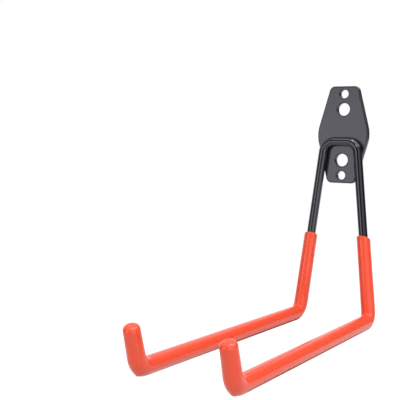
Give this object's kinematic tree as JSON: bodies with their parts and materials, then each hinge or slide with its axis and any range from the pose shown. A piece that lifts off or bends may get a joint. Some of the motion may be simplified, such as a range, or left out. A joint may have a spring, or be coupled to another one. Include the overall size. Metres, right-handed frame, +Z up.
{
  "type": "garage utility hook",
  "caption": "Garage wall hook: a bent steel rod on an elongated screw plate, its paired arms reaching forward to upturned tips under orange PVC sleeves, for hanging tools and ladders.",
  "frame": {"origin": "middle of the mounting plate's back face, on the wall", "axes": "+Z up along the plate's centre line, +Y into the wall, so that the arms reach towards -Y, +X to the right of someone who faces the hook"},
  "size_m": [0.083, 0.272, 0.2115],
  "materials": {
    "plate_black": "semi-gloss black powder coat",
    "rod_black": "gloss black powder coat",
    "orange_pvc": "glossy dipped PVC"
  },
  "bodies": {
    "root": {"mounting_plate": "plate_black", "hook_rod": "rod_black", "left_sleeve": "orange_pvc", "right_sleeve": "orange_pvc"}
  },
  "joints": []
}
